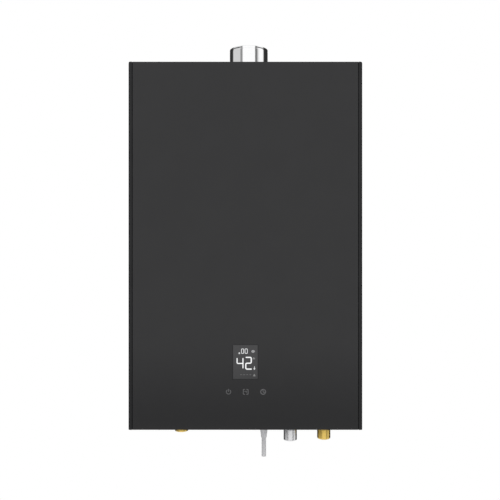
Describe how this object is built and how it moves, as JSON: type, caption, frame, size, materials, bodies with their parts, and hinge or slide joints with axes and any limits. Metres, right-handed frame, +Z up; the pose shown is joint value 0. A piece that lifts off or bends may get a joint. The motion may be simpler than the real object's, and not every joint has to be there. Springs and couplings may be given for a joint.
{
  "type": "tankless gas water heater",
  "caption": "Slim wall-hung tankless gas water heater with a dark front panel, lit temperature display, flue spigot on top, threaded pipe stubs and a lead below; the cover pulls off.",
  "frame": {"origin": "on the wall plane, in the middle of the four wall screws", "axes": "+Z up, +Y into the wall, +X to the right seen from the front"},
  "size_m": [0.35, 0.14, 0.645],
  "materials": {
    "panel_glass": "back-painted toughened glass, dark grey, smooth",
    "cover_paint": "satin dark grey powder coat",
    "trim": "dark anodised, satin",
    "window": "smoked display window, opaque",
    "lit_digits": "lit white segments",
    "dark_plastic": "moulded, dark grey",
    "circuit": "green circuit board",
    "pads": "conductive rubber",
    "zinc_sheet": "zinc-coated sheet",
    "fasteners": "zinc-plated steel",
    "polished_steel": "polished stainless steel",
    "gasket": "red silicone",
    "steel": "plain steel",
    "copper": "copper, lightly heat-stained",
    "brass": "turned brass",
    "chrome": "bright nickel-chrome plate",
    "cast_aluminium": "die-cast, bead-blasted",
    "coil_black": "black coil wrap",
    "pale_plastic": "moulded, off-white",
    "turbine": "moulded, blue",
    "fan_sheet": "zinc-coated pressed sheet",
    "motor": "black-painted steel can",
    "ceramic": "glazed white ceramic",
    "boot": "soft grey moulding",
    "lead": "light grey sheath"
  },
  "bodies": {
    "chassis": {"flow_sensor_body": "dark_plastic", "temperature_sensors": "dark_plastic", "igniter_pack": "dark_plastic", "controller_board": "circuit", "back_plate": "zinc_sheet", "top_panel": "zinc_sheet", "bottom_panel": "zinc_sheet", "burner_box": "zinc_sheet", "exhaust_hood": "zinc_sheet", "screws": "fasteners", "flue_collar": "polished_steel", "flue_gasket": "gasket", "burner_bars": "steel", "electrode_pins": "steel", "exchanger_shell": "copper", "exchanger_fins": "copper", "exchanger_tubes": "copper", "combustion_chamber": "copper", "water_coil": "copper", "cold_pipe": "copper", "hot_pipe": "copper", "gas_inlet": "brass", "hot_outlet": "brass", "gas_nozzles": "brass", "connection_nuts": "brass", "cold_inlet": "chrome", "gas_valve_body": "cast_aluminium", "gas_manifold": "cast_aluminium", "gas_pipe": "cast_aluminium", "valve_coil": "coil_black", "modulating_coil": "coil_black", "turbine_bearings": "pale_plastic", "controller_case": "pale_plastic", "controller_lid": "pale_plastic", "pressure_switch": "pale_plastic", "power_module": "pale_plastic", "fan_housing": "fan_sheet", "fan_cover": "fan_sheet", "fan_motor": "motor", "electrode_ceramics": "ceramic", "power_boot": "boot", "power_lead": "lead", "wiring": "lead"},
    "front_cover": {"cover_shell": "cover_paint", "front_panel": "panel_glass", "edge_trims": "trim", "display_window": "window", "display_digits": "lit_digits", "display_housing": "dark_plastic", "display_board": "circuit", "touch_pads": "pads"},
    "fan_rotor": {"fan_wheel": "fan_sheet", "fan_shaft": "steel"},
    "turbine": {"flow_turbine": "turbine"},
    "shutoff_plunger": {"valve_plunger": "steel", "valve_spring": "steel"},
    "modulating_plunger": {"modulating_plunger": "steel"},
    "drain_plug": {"drain_plug": "dark_plastic"},
    "damper": {"flue_damper": "steel", "damper_pin": "steel"}
  },
  "joints": [
    {"name": "cover_pull", "type": "slide", "parent": "chassis", "child": "front_cover", "axis": [0, -1, 0], "range_m": [0, 0.2]},
    {"name": "fan_spin", "type": "hinge", "parent": "chassis", "child": "fan_rotor", "pos_m": [-0.015, -0.072, -0.13], "axis": [0, 1, 0], "continuous": true},
    {"name": "turbine_spin", "type": "hinge", "parent": "chassis", "child": "turbine", "pos_m": [0.071, -0.07, -0.2347], "axis": [0, 0, 1], "continuous": true},
    {"name": "valve_lift", "type": "slide", "parent": "chassis", "child": "shutoff_plunger", "axis": [0, 0, 1], "range_m": [0, 0.004], "stiffness_N_per_m": 200, "springref_m": -0.008, "deforming": ["valve_spring"]},
    {"name": "modulating_stroke", "type": "slide", "parent": "chassis", "child": "modulating_plunger", "axis": [0, -1, 0], "range_m": [0, 0.003], "stiffness_N_per_m": 200, "springref_m": -0.004},
    {"name": "drain_pull", "type": "slide", "parent": "chassis", "child": "drain_plug", "axis": [0, 0, -1], "range_m": [0, 0.035]},
    {"name": "damper_swing", "type": "hinge", "parent": "chassis", "child": "damper", "pos_m": [0.005, -0.071, 0.2627], "axis": [-1, 0, 0], "range_deg": [0, 75]}
  ]
}
